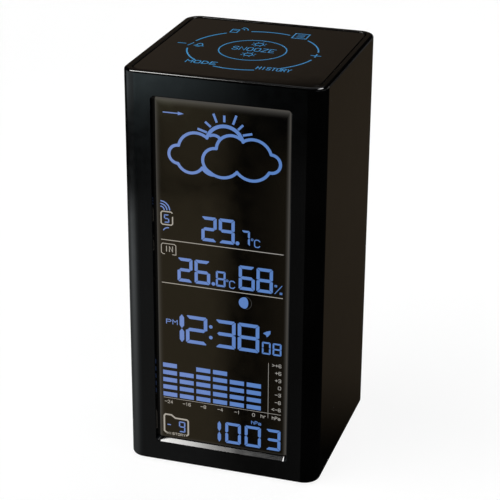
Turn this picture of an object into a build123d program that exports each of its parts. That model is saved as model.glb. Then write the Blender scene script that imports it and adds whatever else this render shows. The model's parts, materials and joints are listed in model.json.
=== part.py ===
from build123d import *
import os

# Home weather station: a square upright tower with a tall display window in
# front and a flat touch plate on top.  Millimetres.  The origin is the centre
# of the plane the feet stand on; +Z is up, the display faces -Y and +X is to
# the right of someone who reads it.

# ---------------------------------------------------------------- dimensions
WIDTH = 85.0                # outside, left to right
DEPTH = 85.0                # outside, front to back
BODY_HEIGHT = 176.5         # moulded sleeve, without the feet
FOOT_PROUD = 0.6            # how far the rubber feet stand out below the base
CORNER_R = 6.9              # upright corners in plan
TOP_EDGE_R = 1.2
BOTTOM_EDGE_R = 0.9
WALL = 2.5
GAP = 0.2                   # assembly gap between loose-fitting pieces
SNUG = 0.03                 # gap round a screw in its pilot hole

WINDOW_W = 58.8             # window opening at the front face
WINDOW_H = 156.9
WINDOW_RISE = 88.25         # window centre above the sleeve's lower edge
WINDOW_R = 1.8
REVEAL_DRAFT = 1.0          # how far the reveal narrows through the wall
SILL_DROP = 0.6             # further fall of the window sill toward the front
LENS_FLANGE = 3.6           # lens border held behind the front wall
LENS_THICK = 1.5
LENS_RAISE = 0.6            # raised panel in front of the wall's inner face
LENS_EDGE_R = 0.28
LENS_CORNER_R = 0.6
TAPE = 0.2

PLATE_SIDE = 78.0           # touch plate
PLATE_R = 3.6
PLATE_THICK = 2.0
PLATE_SINK = 0.3            # plate face below the rim
PLATE_GAP = 0.35            # groove between the plate and the rim
PLATE_EDGE_R = 0.35
RIM_EDGE_R = 0.25
LEDGE_W = 4.75              # seat under the plate's border
LEDGE_THICK = 1.8

LCD_W = 59.6
GLASS_THICK = 1.1
POLARISER_THICK = 0.2
CONTACT_LEDGE = 3.0         # bare strip of the front glass for the zebra strip
GUIDE_THICK = 4.0
BOARD_THICK = 1.6

COVER_W = 68.0              # rear cover
COVER_LOW = 9.6
COVER_HIGH = 163.6
COVER_R = 3.0
COVER_THICK = 2.5
COVER_SINK = 0.5            # cover face in front of the sleeve's rear face
SEAT_W = 2.4                # seat round the rear opening
SEAT_THICK = 2.2

CELL_R = 7.1                # AA cell
CELL_LENGTH = 50.5
CELL_NUB = 1.3
CELL_NUB_R = 2.7
CELL_PITCH = 15.2
CELL_COUNT = 3
CONTACT_THICK = 0.5
BAY_WALL = 1.5
BAY_LOW = 42.0
BAY_HIGH = 100.0
DOOR_W = 48.8
DOOR_LOW = 34.0
DOOR_HIGH = 104.0
DOOR_THICK = 2.0
DOOR_GAP = 0.25
DOOR_R = 1.6
HOOK_XS = (-14.0, 14.0)     # the door's two hooks
HOOK_HALF = 3.8
HOOK_DEEP = 2.0             # reach of a hook in front of the door
HOOK_DROP = 2.7             # reach of a hook below the door
HOOK_ROOT = 2.6             # height of a hook's root on the door
POCKET_HALF = 4.4           # pocket round a hook
POCKET_DEEP = 5.4
POCKET_DROP = 3.6
POCKET_HIGH = 40.0

BUTTON_Z = 126.0            # row of controls on the rear cover
SEARCH_X = -14.0
RESET_X = 0.0
SWITCH_X = 14.0
BUTTON_TRAVEL = 0.6
SEARCH_R = 3.4
RESET_R = 2.0
BUTTON_GAP = 0.3            # round a button in its hole
BUTTON_FLANGE = 1.2         # flange that keeps a button behind the cover
KEY_HALF = 3.0              # key-switch body
KEY_H = 3.5
PLUNGER_R = 1.6
PLUNGER_LOW = 2.5           # plunger, from the control board
PLUNGER_HIGH = 4.2
STEM_R = 1.9
FLANGE_LOW = 6.1            # button and knob flanges, from the control board
FLANGE_HIGH = 7.2
MERGE = 0.1                 # overlap of joined shapes in one piece
SWITCH_TRAVEL = 2.5
SLIDE_CAP = (5.6, 3.8)      # cap of the unit slide, width and height
SLIDE_SLOT_H = 4.4
JACK_X = 17.0
JACK_Z = 22.0
JACK_W = 9.0
JACK_H = 11.0
JACK_DEPTH = 13.5
JACK_GAP = 0.15
JACK_HOLE_R = 4.2
JACK_BORE_R = 2.8
JACK_BORE_DEPTH = 10.0
JACK_PIN_R = 0.95

# ------------------------------------------------------------ derived planes
FRONT = -DEPTH / 2
BACK = DEPTH / 2
BOTTOM = FOOT_PROUD
TOP = BOTTOM + BODY_HEIGHT
INNER = WIDTH - 2 * WALL
INNER_R = CORNER_R - WALL
FRONT_IN = FRONT + WALL
WINDOW_Z = BOTTOM + WINDOW_RISE

PLATE_TOP = TOP - PLATE_SINK
PLATE_BASE = PLATE_TOP - PLATE_THICK
PLATE_RECESS = PLATE_SIDE + 2 * PLATE_GAP
SEAT_Z = PLATE_BASE - TAPE
DECK_OPENING = PLATE_RECESS - 2 * LEDGE_W
DIFFUSER_BASE = SEAT_Z - 1.6

LENS_FRONT = FRONT_IN + TAPE
LENS_BACK = LENS_FRONT + LENS_THICK
PANEL_W = WINDOW_W - 2 * REVEAL_DRAFT - 2 * GAP
PANEL_H = WINDOW_H - 2 * REVEAL_DRAFT - 2 * GAP

FRAME_FRONT = LENS_BACK + 0.1
GLASS_FRONT = FRAME_FRONT + 0.6
GLASS_MID = GLASS_FRONT + GLASS_THICK
GLASS_BACK = GLASS_MID + GLASS_THICK
GUIDE_FRONT = GLASS_BACK + 2 * POLARISER_THICK
GUIDE_BACK = GUIDE_FRONT + GUIDE_THICK
BOARD_FRONT = GUIDE_BACK + 2 * POLARISER_THICK
BOARD_BACK = BOARD_FRONT + BOARD_THICK
LCD_LOW = 6.4
LCD_HIGH = 167.6
BOARD_W = 74.8
BOARD_LOW = 5.2
BOARD_HIGH = 165.4
BOARD_SCREWS = [(x, z) for x in (-35.0, 35.0) for z in (18.0, 88.0, 158.0)]

COVER_BACK = BACK - COVER_SINK
COVER_FRONT = COVER_BACK - COVER_THICK
COVER_Z = (COVER_LOW + COVER_HIGH) / 2
COVER_H = COVER_HIGH - COVER_LOW
COVER_SCREWS = [(x, z) for x in (-29.0, 29.0) for z in (16.0, 157.0)]
SEAT_OUT_W = COVER_W + 2 * GAP
SEAT_OUT_H = COVER_H + 2 * GAP

CELL_XS = [CELL_PITCH * (i - (CELL_COUNT - 1) / 2) for i in range(CELL_COUNT)]
DOOR_FRONT = COVER_BACK - DOOR_THICK
CELL_Y = DOOR_FRONT - 0.6 - CELL_R
BAY_FRONT = CELL_Y - CELL_R - 0.4
BAY_HALF = CELL_XS[-1] + CELL_R + 0.6
BAY_BACKING = BAY_FRONT - BAY_WALL
TAG_TIP = BAY_BACKING - 2.0
DOOR_Z = (DOOR_LOW + DOOR_HIGH) / 2
DOOR_H = DOOR_HIGH - DOOR_LOW
CELL_LOW = BAY_LOW + CONTACT_THICK
CELL_HIGH = BAY_HIGH - CONTACT_THICK

CONTROL_W = 54.0
CONTROL_LOW = 116.0
CONTROL_HIGH = 152.0
CONTROL_BACK = COVER_FRONT - 7.5
CONTROL_FRONT = CONTROL_BACK - BOARD_THICK
CONTROL_SCREWS = [(x, z) for x in (-24.0, 24.0) for z in (119.0, 149.0)]
HUMIDITY_Z = 147.5
HEADER_AT = [(-22.0, 48.0), (26.0, 30.0)]     # battery and mains-adapter leads
HEADER_TOP = BOARD_BACK + 4.0
PLUG_TOP = BOARD_BACK + 9.0
RIBBON_W = 9.0
RIBBON_THICK = 0.3
RIBBON_BEND = 4.0
RIBBON_Z = 152.0            # row of cable sockets on the main board
SOCKET_DEEP = 2.6
TOUCH_SOCKET = (-18.0, -10.0)
CONTROL_SOCKET_Z = 142.0

TOUCH_TOP = SEAT_Z - LEDGE_THICK - 4.3
TOUCH_BASE = TOUCH_TOP - BOARD_THICK
TOUCH_FRONT = BOARD_FRONT + 0.4
TOUCH_BACK = 36.8
TOUCH_W = 78.4
TOUCH_SCREWS = [(x, y) for x in (-37.0, 37.0) for y in (-24.0, 31.0)]
RING_R = 27.1               # radius of the lit ring under the plate
CENTRE_R = 14.1             # radius of the inner lit ring
LIGHT_WALL = 1.2            # walls of the light box

SCREW_R = 1.0
HEAD_R = 2.0
HEAD_H = 1.6
BOSS_R = 2.4                # posts for the board screws
COVER_BOSS_R = 3.6
BASE_BOSS_R = 3.9
BASE_BOSS_H = 6.0
FOOT_R = 5.5
FOOT_POCKET = 0.8           # depth of a foot's recess
FOOT_AT = 27.0
BASE_SCREW_AT = 36.2
BASE_THICK = 2.5
BASE_SCREWS = [(x, y) for x in (-BASE_SCREW_AT, BASE_SCREW_AT)
               for y in (-BASE_SCREW_AT, BASE_SCREW_AT)]
FEET = [(x, y) for x in (-FOOT_AT, FOOT_AT) for y in (-FOOT_AT, FOOT_AT)]


# ------------------------------------------------------------------- helpers
def span_box(x, y, z):
    """Box that fills three (low, high) ranges."""
    size = [high - low for low, high in (x, y, z)]
    centre = [(high + low) / 2 for low, high in (x, y, z)]
    return Pos(*centre) * Box(*size)


def upright(width, depth, corner, low, high):
    """Prism with rounded plan corners, centred on the tower's axis."""
    return Pos(0, 0, low) * extrude(RectangleRounded(width, depth, corner), high - low)


def panel(width, height, corner, near, far, x=0.0, z=0.0):
    """Standing plate with rounded corners between two depths."""
    plate = extrude(RectangleRounded(width, height, corner), far - near)
    return Pos(x, far, z) * Rot(90, 0, 0) * plate


def rod_y(radius, near, far, x, z):
    """Cylinder along Y between two depths."""
    return Pos(x, (near + far) / 2, z) * Rot(90, 0, 0) * Cylinder(radius, far - near)


def rod_z(radius, low, high, x=0.0, y=0.0):
    """Cylinder along Z between two heights."""
    return Pos(x, y, (low + high) / 2) * Cylinder(radius, high - low)


def group(solids):
    """Separate solids kept together in one node."""
    return Part() + list(solids)


def cross_screw(shank):
    """Pan-head screw: head above Z = 0, shank below, with a cross recess."""
    head = Pos(0, 0, HEAD_H / 2) * Cylinder(HEAD_R, HEAD_H)
    head = fillet(head.edges().sort_by(Axis.Z)[-1], 0.5)
    body = head + Pos(0, 0, -shank / 2) * Cylinder(SCREW_R - SNUG, shank)
    recess = Box(2.4, 0.6, 1.4) + Box(0.6, 2.4, 1.4)
    return body - Pos(0, 0, HEAD_H) * recess


def swept_wire(points, radius, bends):
    """Insulated lead along straight runs joined by tangent arcs."""
    path = FilletPolyline(*points, radius=bends)
    section = Plane(path @ 0, z_dir=path % 0) * Circle(radius)
    return sweep(section, path=path)


def swept_ribbon(points, width, thick, bends):
    """Flat ribbon lying across X along a path in the YZ plane."""
    path = FilletPolyline(*points, radius=bends)
    section = Plane(path @ 0, x_dir=(1, 0, 0), z_dir=path % 0) * Rectangle(width, thick)
    return sweep(section, path=path)


def coil_spring(pitch, height, radius, wire):
    """Round-wire coil that rises from Z = 0."""
    path = Helix(pitch=pitch, height=height, radius=radius)
    section = Plane(path @ 0, z_dir=path % 0) * Circle(wire)
    return sweep(section, path=path, is_frenet=True)


# ------------------------------------------------------------- outer casing
def window_cutter():
    """Tapered reveal through the front wall, steeper at its lower sill."""
    inner = (WINDOW_W - 2 * REVEAL_DRAFT, WINDOW_H - 2 * REVEAL_DRAFT, WINDOW_R - REVEAL_DRAFT)
    outer = (WINDOW_W, WINDOW_H + SILL_DROP, WINDOW_R)
    back = Plane((0, FRONT_IN, WINDOW_Z), x_dir=(1, 0, 0), z_dir=(0, -1, 0)) * RectangleRounded(*inner)
    near = Plane((0, FRONT, WINDOW_Z - SILL_DROP / 2), x_dir=(1, 0, 0), z_dir=(0, -1, 0))
    reveal = loft([back, near * RectangleRounded(*outer)])
    through = panel(*inner, FRONT_IN - MERGE, FRONT_IN + MERGE, z=WINDOW_Z)
    return reveal + through


def rear_seat():
    """Frame inside the rear wall that the rear cover lies on, with screw bosses."""
    near = COVER_FRONT - SEAT_THICK
    seat = panel(SEAT_OUT_W + 3, SEAT_OUT_H + 3, COVER_R + 1.5, near, BACK - WALL + MERGE, z=COVER_Z)
    seat -= panel(SEAT_OUT_W - 2 * SEAT_W, SEAT_OUT_H - 2 * SEAT_W, 1.5, near - 1, BACK, z=COVER_Z)
    corners = group(rod_y(COVER_BOSS_R, COVER_FRONT - 8.0, COVER_FRONT, x, z)
                    for x, z in COVER_SCREWS)
    return seat + corners


def deck_bosses():
    """Posts under the top deck for the touch board."""
    return group(rod_z(BOSS_R, TOUCH_TOP, SEAT_Z - 0.5, x, y) for x, y in TOUCH_SCREWS)


def base_bosses():
    """Posts in the lower corners for the base plate's screws."""
    low = BOTTOM + BASE_THICK
    return group(rod_z(BASE_BOSS_R, low, low + BASE_BOSS_H, x, y) for x, y in BASE_SCREWS)


def sleeve_shell():
    """Rounded tower, hollow from below, with the deck that carries the touch plate."""
    body = upright(WIDTH, DEPTH, CORNER_R, BOTTOM, TOP)
    body = fillet(body.edges().group_by(Axis.Z)[-1], TOP_EDGE_R)
    body = fillet(body.edges().group_by(Axis.Z)[0], BOTTOM_EDGE_R)
    body -= upright(INNER, INNER, INNER_R, BOTTOM - 1, SEAT_Z - LEDGE_THICK)
    body -= upright(PLATE_RECESS, PLATE_RECESS, PLATE_R + PLATE_GAP, SEAT_Z, TOP + 1)
    body -= upright(DECK_OPENING, DECK_OPENING, 2.5, SEAT_Z - LEDGE_THICK - 1, SEAT_Z + 1)
    return body


def soften_openings(body):
    """Small moulded radii round the window and the plate recess."""
    window = [
        edge for edge in body.edges()
        if edge.center().Y < FRONT + 0.01 and abs(edge.center().X) < WINDOW_W / 2 + 0.1
        and abs(edge.center().Z - WINDOW_Z) < WINDOW_H / 2 + SILL_DROP + 0.1
    ]
    body = fillet(window, 0.3)
    reach = PLATE_RECESS / 2 + 0.1
    rim = [
        edge for edge in body.edges()
        if edge.center().Z > TOP - 0.01
        and max(abs(edge.center().X), abs(edge.center().Y)) < reach
    ]
    return fillet(rim, RIM_EDGE_R)


def housing():
    """One-piece gloss sleeve: four walls, top deck, window, rear seat and bosses."""
    body = sleeve_shell()
    for x, z in BOARD_SCREWS:
        body += rod_y(BOSS_R, FRONT_IN - 0.5, BOARD_FRONT, x, z)
    body += rear_seat()
    body += deck_bosses()
    body += base_bosses()
    body -= window_cutter()
    body -= panel(SEAT_OUT_W, SEAT_OUT_H, COVER_R + GAP, COVER_FRONT, BACK + 1, z=COVER_Z)
    for x, z in BOARD_SCREWS:
        body -= rod_y(SCREW_R, BOARD_FRONT - 7.5, BOARD_FRONT, x, z)
    for x, z in COVER_SCREWS:
        body -= rod_y(SCREW_R, COVER_FRONT - 7.0, COVER_FRONT, x, z)
    for x, y in TOUCH_SCREWS:
        body -= rod_z(SCREW_R, TOUCH_TOP, TOUCH_TOP + 5.5, x, y)
    for x, y in BASE_SCREWS:
        body -= rod_z(SCREW_R, BOTTOM + BASE_THICK, BOTTOM + BASE_THICK + 5.0, x, y)
    return soften_openings(body)


def base_plate():
    """Plate that closes the sleeve from below, with screw wells and foot recesses."""
    side = INNER - 2 * GAP
    plate = upright(side, side, INNER_R - GAP, BOTTOM, BOTTOM + BASE_THICK)
    for x, y in BASE_SCREWS:
        plate -= rod_z(SCREW_R + GAP, BOTTOM - 1, BOTTOM + BASE_THICK + 1, x, y)
        plate -= rod_z(HEAD_R + GAP, BOTTOM - 1, BOTTOM + HEAD_H, x, y)
    for x, y in FEET:
        plate -= rod_z(FOOT_R + 0.1, BOTTOM - 1, BOTTOM + FOOT_POCKET, x, y)
    ribs = group(span_box((x - 0.6, x + 0.6), (-24, 24), (BOTTOM + BASE_THICK - MERGE, BOTTOM + 4.5))
                 for x in (-12, 12))
    return plate + ribs


def base_plate_screws():
    """Four screws that hold the base plate, driven from below."""
    screw = Rot(180, 0, 0) * cross_screw(5.6)
    return group(Pos(x, y, BOTTOM + HEAD_H) * screw for x, y in BASE_SCREWS)


def rubber_feet():
    """Four self-adhesive domed feet in their recesses."""
    foot = rod_z(FOOT_R, 0, BOTTOM + FOOT_POCKET)
    foot = fillet(foot.edges().group_by(Axis.Z)[0], 0.5)
    return group(Pos(x, y, 0) * foot for x, y in FEET)


# --------------------------------------------------------------- touch deck
def touch_plate():
    """Tinted acrylic plate that is touched, flush in the top rim."""
    plate = upright(PLATE_SIDE, PLATE_SIDE, PLATE_R, PLATE_BASE, PLATE_TOP)
    return fillet(plate.edges().group_by(Axis.Z)[-1], PLATE_EDGE_R)


def touch_plate_tape():
    """Adhesive frame between the plate's border and the deck."""
    frame = upright(PLATE_SIDE - 0.6, PLATE_SIDE - 0.6, PLATE_R - 0.3, SEAT_Z, PLATE_BASE)
    inside = DECK_OPENING + 0.8
    return frame - upright(inside, inside, 2.5, SEAT_Z - 1, PLATE_BASE + 1)


def touch_sensor_film():
    """Clear electrode film on the underside of the plate."""
    side = DECK_OPENING - 0.6
    return upright(side, side, 2.2, SEAT_Z, PLATE_BASE)


def touch_diffuser():
    """Opal sheet that spreads the light of the ring and symbols."""
    side = DECK_OPENING - 1.0
    return upright(side, side, 2.0, DIFFUSER_BASE, SEAT_Z)


def touch_light_frame():
    """White light box: an outer wall, a wall round the centre and partitions."""
    low = TOUCH_TOP
    high = DIFFUSER_BASE
    half = LIGHT_WALL / 2
    between = (RING_R + CENTRE_R) / 2
    frame = span_box((-33.5, 33.5), (TOUCH_FRONT + 0.3, 33.5), (low, high))
    frame -= span_box((-32.0, 32.0), (TOUCH_FRONT + 1.8, 32.0), (low - 1, high + 1))
    wall = rod_z(between + half, low, high) - rod_z(between - half, low - 1, high + 1)
    spokes = group(
        Rot(0, 0, 22.5 + 45 * i) * span_box((between, 36.0), (-half, half), (low, high))
        for i in range(8)
    )
    spokes &= span_box((-33.0, 33.0), (TOUCH_FRONT + 0.8, 33.0), (low, high))
    return frame + wall + spokes


def touch_board():
    """Circuit board under the light box."""
    depth = TOUCH_BACK - TOUCH_FRONT
    board = extrude(RectangleRounded(TOUCH_W, depth, 3.0), BOARD_THICK)
    board = Pos(0, (TOUCH_BACK + TOUCH_FRONT) / 2, TOUCH_BASE) * board
    for x, y in TOUCH_SCREWS:
        board -= rod_z(SCREW_R + GAP, TOUCH_BASE - 1, TOUCH_TOP + 1, x, y)
    return board


def touch_leds():
    """Blue lamps: one per symbol round the ring and two in the centre."""
    lamp = span_box((-1.0, 1.0), (-0.8, 0.8), (TOUCH_TOP, TOUCH_TOP + 0.8))
    ring = [Rot(0, 0, 45 * i) * Pos(24.6, 0, 0) * lamp for i in range(8)]
    centre = [Pos(0, y, 0) * lamp for y in (-7.0, 7.0)]
    return group(ring + centre)


def touch_controller():
    """Touch-sensing chip on the underside of the touch board."""
    return span_box((-16, -8), (10, 18), (TOUCH_BASE - 1.2, TOUCH_BASE))


def touch_board_screws():
    """Four screws that hang the touch board from the deck's posts."""
    screw = Rot(180, 0, 0) * cross_screw(6.6)
    return group(Pos(x, y, TOUCH_BASE) * screw for x, y in TOUCH_SCREWS)


# ------------------------------------------------------------------ display
def display_lens():
    """Tinted acrylic window: a flange behind the wall and a raised panel in the opening."""
    flange = panel(PANEL_W + 2 * LENS_FLANGE, PANEL_H + 2 * LENS_FLANGE - 2, 2.0,
                   LENS_FRONT, LENS_BACK, z=WINDOW_Z)
    raised = panel(PANEL_W, PANEL_H, LENS_CORNER_R, FRONT_IN - LENS_RAISE, LENS_FRONT, z=WINDOW_Z)
    raised = fillet(raised.edges().group_by(Axis.Y)[0], LENS_EDGE_R)
    return flange + raised


def display_lens_tape():
    """Black foam tape frame between the lens flange and the front wall."""
    width = PANEL_W + 2 * LENS_FLANGE - 0.4
    height = PANEL_H + 2 * LENS_FLANGE - 2.4
    frame = panel(width, height, 2.0, FRONT_IN, LENS_FRONT, z=WINDOW_Z)
    opening = panel(PANEL_W + 0.6, PANEL_H + 0.6, 0.8, FRONT_IN - 1, LENS_FRONT + 1, z=WINDOW_Z)
    return frame - opening


def lcd_front_glass():
    """Front glass of the display cell; its lower strip carries the contacts."""
    return span_box((-LCD_W / 2, LCD_W / 2), (GLASS_FRONT, GLASS_MID), (LCD_LOW, LCD_HIGH))


def lcd_rear_glass():
    """Rear glass of the display cell, shorter by the contact strip."""
    low = LCD_LOW + CONTACT_LEDGE
    return span_box((-LCD_W / 2, LCD_W / 2), (GLASS_MID, GLASS_BACK), (low, LCD_HIGH))


def lcd_polarisers():
    """Two polarising films, one on each side of the cell."""
    front = panel(57.0, 157.2, 0.5, GLASS_FRONT - POLARISER_THICK, GLASS_FRONT, z=WINDOW_Z)
    rear = panel(57.0, 155.6, 0.5, GLASS_BACK, GLASS_BACK + POLARISER_THICK, z=WINDOW_Z + 0.8)
    return group([front, rear])


def lcd_frame():
    """Moulded frame that clips the cell and backlight to the main board."""
    half = LCD_W / 2 + 1.6
    frame = span_box((-half, half), (FRAME_FRONT, BOARD_FRONT), (LCD_LOW - 2.0, LCD_HIGH + 1.8))
    half -= 1.4
    frame -= span_box((-half, half), (GLASS_FRONT, BOARD_FRONT + 1), (LCD_LOW - 0.2, LCD_HIGH + 0.2))
    return frame - panel(57.4, 157.6, 0.6, FRAME_FRONT - 1, GLASS_FRONT + 1, z=WINDOW_Z)


def backlight_diffuser():
    """Diffusing film in front of the light guide."""
    low = LCD_LOW + CONTACT_LEDGE
    near = GLASS_BACK + POLARISER_THICK
    return span_box((-27.9, 27.9), (near, GUIDE_FRONT), (low, LCD_HIGH))


def backlight_guide():
    """Clear acrylic light guide, lit from both long edges."""
    low = LCD_LOW + CONTACT_LEDGE
    return span_box((-28.0, 28.0), (GUIDE_FRONT, GUIDE_BACK), (low, LCD_HIGH))


def backlight_reflector():
    """White reflecting film behind the light guide."""
    low = LCD_LOW + CONTACT_LEDGE
    return span_box((-29.4, 29.4), (GUIDE_BACK, GUIDE_BACK + POLARISER_THICK), (low, LCD_HIGH))


def backlight_led_boards():
    """Two slim strip boards beside the light guide."""
    return group(
        span_box((min(a, b), max(a, b)), (GUIDE_FRONT, GUIDE_BACK), (20, 157))
        for a, b in ((29.0, 29.8), (-29.0, -29.8))
    )


def backlight_leds():
    """Ten side-firing lamps on each strip board."""
    lamps = []
    for side in (-1, 1):
        inner, outer = sorted((side * 28.1, side * 29.0))
        for i in range(10):
            z = 25.5 + 14 * i
            lamps.append(span_box((inner, outer), (GUIDE_FRONT + 0.8, GUIDE_BACK - 0.8),
                                  (z - 1.4, z + 1.4)))
    return group(lamps)


def zebra_strip():
    """Elastomer contact strip between the front glass and the main board."""
    return span_box((-28, 28), (GLASS_MID, BOARD_FRONT), (LCD_LOW + 0.5, LCD_LOW + 2.6))


# --------------------------------------------------------------- main board
def main_board():
    """Main circuit board behind the display."""
    low, high = BOARD_LOW, BOARD_HIGH
    board = panel(BOARD_W, high - low, 2.0, BOARD_FRONT, BOARD_BACK, z=(low + high) / 2)
    for x, z in BOARD_SCREWS:
        board -= rod_y(SCREW_R + GAP, BOARD_FRONT - 1, BOARD_BACK + 1, x, z)
    return board


def main_board_screws():
    """Six screws that hold the main board to the front wall's bosses."""
    screw = Rot(-90, 0, 0) * cross_screw(8.2)
    return group(Pos(x, BOARD_BACK, z) * screw for x, z in BOARD_SCREWS)


def flat_chip(side, height, pins, x, z):
    """Square chip on the main board with a row of pins on each side."""
    half = side / 2
    body = span_box((x - half, x + half), (BOARD_BACK + 0.1, BOARD_BACK + height),
                    (z - half, z + half))
    pitch = side / (pins + 1)
    pin = span_box((half - 0.2, half + 1.0), (BOARD_BACK, BOARD_BACK + 0.3), (-0.2, 0.2))
    for quarter in range(4):
        for i in range(pins):
            offset = pitch * (i + 1) - half
            body += Pos(x, 0, z) * Rot(0, 90 * quarter, 0) * Pos(0, 0, offset) * pin
    return body


def main_controller():
    """Processor that reads the sensors and runs the clock."""
    return flat_chip(14.0, 1.6, 8, -10.0, 70.0)


def display_driver():
    """Display driver chip near the contact strip."""
    return flat_chip(10.0, 1.4, 6, 0.0, 30.0)


def board_components():
    """Capacitors, resistors and crystal soldered to the main board."""
    parts = []
    for row in range(4):
        for column in range(5):
            x = -28 + 4.2 * column
            z = 84 + 3.4 * row
            parts.append(span_box((x, x + 2.0), (BOARD_BACK, BOARD_BACK + 0.8), (z, z + 1.25)))
    for x, z in ((12.0, 46.0), (22.0, 46.0)):
        parts.append(rod_y(3.1, BOARD_BACK, BOARD_BACK + 8.0, x, z))
    parts.append(Pos(-24.0, BOARD_BACK + 1.1, 70.0) * Cylinder(1.1, 6.0))
    return group(parts)


def pressure_sensor():
    """Barometric sensor with its breathing hole."""
    body = span_box((23.5, 28.5), (BOARD_BACK, BOARD_BACK + 1.9), (67.5, 72.5))
    return body - rod_y(0.6, BOARD_BACK + 1.0, BOARD_BACK + 3.0, 26.0, 70.0)


def buzzer():
    """Alarm sounder."""
    can = rod_y(6.0, BOARD_BACK, BOARD_BACK + 5.5, -24.0, 112.0)
    return can - rod_y(1.2, BOARD_BACK + 3.5, BOARD_BACK + 6.0, -24.0, 112.0)


def radio_board():
    """Receiver board for the outdoor sensor, standing off on four pins."""
    y = BOARD_BACK + 2.6
    board = span_box((8.0, 30.0), (y, y + 1.0), (116.0, 142.0))
    for x in (10.5, 27.5):
        for z in (118.0, 140.0):
            board += rod_y(0.4, BOARD_BACK, y + 0.5, x, z)
    return board


def radio_shield():
    """Tin can over the receiver circuit."""
    y = BOARD_BACK + 3.6
    can = span_box((11.0, 25.0), (y, y + 2.6), (122.0, 136.0))
    return can - span_box((11.3, 24.7), (y - 1, y + 2.3), (122.3, 135.7))


def radio_antenna():
    """Coiled aerial that stands on the receiver board."""
    coil = coil_spring(1.8, 16.2, 2.2, 0.4)
    leg = Pos(2.2, 0, -0.9) * Cylinder(0.38, 1.8)
    return Pos(19.0, BOARD_BACK + 6.6, 144.0) * (coil + leg)


def lead_headers():
    """Two-pin headers on the main board."""
    return group(
        span_box((x - 3.6, x + 3.6), (BOARD_BACK, HEADER_TOP), (z - 2.4, z + 2.4))
        for x, z in HEADER_AT
    )


def lead_plugs():
    """Two-pin plugs on the supply leads."""
    return group(
        span_box((x - 3.2, x + 3.2), (HEADER_TOP, PLUG_TOP), (z - 2.0, z + 2.0))
        for x, z in HEADER_AT
    )


def ribbon_connectors():
    """Flat-cable sockets on the three boards."""
    x, y = TOUCH_SOCKET
    main = [
        span_box((at - 6.0, at + 6.0), (BOARD_BACK, BOARD_BACK + SOCKET_DEEP),
                 (RIBBON_Z - 2.0, RIBBON_Z + 2.0))
        for at in (x, 0.0)
    ]
    touch = span_box((x - 6.0, x + 6.0), (y - 2.0, y + 2.0), (TOUCH_BASE - SOCKET_DEEP, TOUCH_BASE))
    control = span_box((-6.0, 6.0), (CONTROL_FRONT - SOCKET_DEEP, CONTROL_FRONT),
                       (CONTROL_SOCKET_Z - 2.0, CONTROL_SOCKET_Z + 2.0))
    return group(main + [touch, control])


def touch_ribbon():
    """Flat cable from the touch board down to the main board."""
    x, y = TOUCH_SOCKET
    points = [(x, y, TOUCH_BASE - SOCKET_DEEP), (x, y, RIBBON_Z), (x, BOARD_BACK + SOCKET_DEEP, RIBBON_Z)]
    return swept_ribbon(points, RIBBON_W, RIBBON_THICK, RIBBON_BEND)


def control_ribbon():
    """Flat cable from the control board forward to the main board."""
    points = [(0, CONTROL_FRONT - SOCKET_DEEP, CONTROL_SOCKET_Z), (0, 14.0, CONTROL_SOCKET_Z),
              (0, -12.0, RIBBON_Z), (0, BOARD_BACK + SOCKET_DEEP, RIBBON_Z)]
    return swept_ribbon(points, RIBBON_W, RIBBON_THICK, RIBBON_BEND)


# --------------------------------------------------------------- rear cover
def battery_bay():
    """Moulded box for the cells, with the two pockets of the door's hooks."""
    half = DOOR_W / 2 + DOOR_GAP + BAY_WALL
    back = COVER_FRONT + MERGE
    box = span_box((-half, half), (BAY_BACKING, back), (BAY_LOW - 1.8, BAY_HIGH + 1.8))
    sill = span_box((-half, half), (COVER_FRONT - 6.5, back), (DOOR_LOW - 5.0, BAY_LOW - 1.0))
    head = span_box((-half, half), (COVER_FRONT - 3.0, back), (BAY_HIGH + 1.0, DOOR_HIGH + 3.0))
    return box + sill + head


def bay_cuts():
    """Hollows of the battery bay, the door recess, its hook pockets and tab slots."""
    bay = span_box((-BAY_HALF, BAY_HALF), (BAY_FRONT, COVER_BACK + 1), (BAY_LOW, BAY_HIGH))
    recess = panel(DOOR_W + 2 * DOOR_GAP, DOOR_H + 2 * DOOR_GAP, DOOR_R + DOOR_GAP,
                   DOOR_FRONT - 0.15, COVER_BACK + 1, z=DOOR_Z)
    cuts = bay + recess
    for x in HOOK_XS:
        wide = (x - POCKET_HALF, x + POCKET_HALF)
        near = COVER_FRONT - POCKET_DEEP
        cuts += span_box(wide, (near, DOOR_FRONT), (DOOR_LOW - DOOR_GAP, POCKET_HIGH))
        cuts += span_box(wide, (near, COVER_FRONT - GAP), (DOOR_LOW - POCKET_DROP, POCKET_HIGH))
    cuts += span_box((-5.0, 5.0), (COVER_FRONT - 1.6, DOOR_FRONT),
                     (BAY_HIGH + 2.0, DOOR_HIGH + DOOR_GAP))
    for x, z in ((CELL_XS[0], BAY_LOW), (CELL_XS[-1], BAY_HIGH - CONTACT_THICK)):
        cuts += span_box((x - 1.7, x + 1.7), (BAY_BACKING - 1, BAY_FRONT + 1),
                         (z - GAP, z + CONTACT_THICK + GAP))
    return cuts


def cover_vents():
    """Breathing slots over the climate sensor."""
    return group(
        panel(1.5, 15.0, 0.7, COVER_FRONT - 1, COVER_BACK + 1, x=4.0 * i, z=147.0)
        for i in range(-4, 5)
    )


def control_holes():
    """Holes for the two buttons and the unit slide."""
    near = COVER_FRONT - 1
    far = COVER_BACK + 1
    holes = rod_y(SEARCH_R + BUTTON_GAP, near, far, SEARCH_X, BUTTON_Z)
    holes += rod_y(RESET_R + BUTTON_GAP, near, far, RESET_X, BUTTON_Z)
    slot = SLIDE_CAP[0] + SWITCH_TRAVEL + 2 * BUTTON_GAP
    return holes + panel(slot, SLIDE_SLOT_H, 0.6, near, far, x=SWITCH_X, z=BUTTON_Z)


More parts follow.
